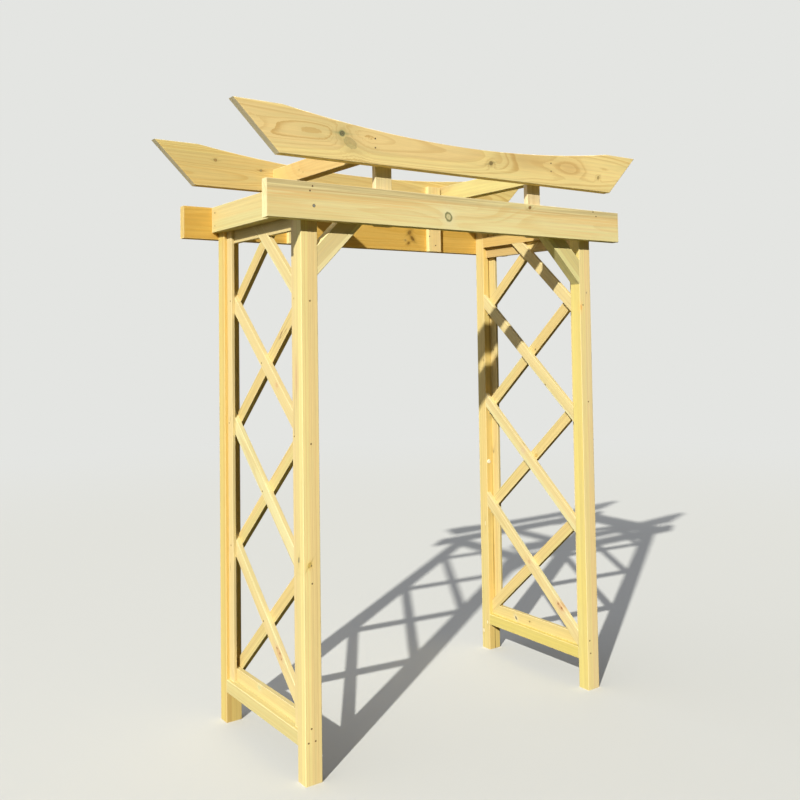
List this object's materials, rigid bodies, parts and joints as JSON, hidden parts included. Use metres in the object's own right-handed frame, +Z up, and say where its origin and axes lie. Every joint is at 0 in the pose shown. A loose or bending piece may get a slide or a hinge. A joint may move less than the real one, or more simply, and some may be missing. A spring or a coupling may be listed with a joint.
{
  "type": "garden arch",
  "caption": "Free-standing timber garden arch with latticed side frames, braced beams and an upswept second tier over a walk-through passage.",
  "frame": {"origin": "on the ground, in the middle between the four posts", "axes": "+Z up, +X to the right across the passage, +Y to the rear along the walk through it"},
  "size_m": [1.81, 0.703, 2.12],
  "materials": {
    "post_timber": "planed, pressure-treated, weather-dry",
    "beam_timber": "planed, pressure-treated, weather-dry",
    "board_timber": "planed, pressure-treated, weather-dry",
    "rail_timber": "planed, pressure-treated, weather-dry",
    "lattice_timber": "planed, pressure-treated, weather-dry",
    "brace_timber": "planed, pressure-treated, weather-dry",
    "rafter_timber": "planed, pressure-treated, weather-dry"
  },
  "bodies": {
    "root": {"front_beam": "beam_timber", "front_left_post": "post_timber", "front_left_upright": "brace_timber", "front_right_post": "post_timber", "front_right_upright": "brace_timber", "front_top_board": "board_timber", "left_bottom_rail": "rail_timber", "left_brace": "brace_timber", "left_foot_batten": "lattice_timber", "left_front_stile": "lattice_timber", "left_head_battens": "lattice_timber", "left_inner_batten_1": "lattice_timber", "left_inner_batten_2": "lattice_timber", "left_inner_batten_3": "lattice_timber", "left_inner_batten_4": "lattice_timber", "left_outer_batten_1": "lattice_timber", "left_outer_batten_2": "lattice_timber", "left_outer_batten_3": "lattice_timber", "left_outer_batten_4": "lattice_timber", "left_rafter": "rafter_timber", "left_rear_stile": "lattice_timber", "left_side_rail": "rail_timber", "left_top_rail": "rail_timber", "rear_beam": "beam_timber", "rear_left_post": "post_timber", "rear_left_upright": "brace_timber", "rear_right_post": "post_timber", "rear_right_upright": "brace_timber", "rear_top_board": "board_timber", "right_bottom_rail": "rail_timber", "right_brace": "brace_timber", "right_foot_batten": "lattice_timber", "right_front_stile": "lattice_timber", "right_head_battens": "lattice_timber", "right_inner_batten_1": "lattice_timber", "right_inner_batten_2": "lattice_timber", "right_inner_batten_3": "lattice_timber", "right_inner_batten_4": "lattice_timber", "right_outer_batten_1": "lattice_timber", "right_outer_batten_2": "lattice_timber", "right_outer_batten_3": "lattice_timber", "right_outer_batten_4": "lattice_timber", "right_rafter": "rafter_timber", "right_rear_stile": "lattice_timber", "right_side_rail": "rail_timber", "right_top_rail": "rail_timber"}
  },
  "joints": []
}
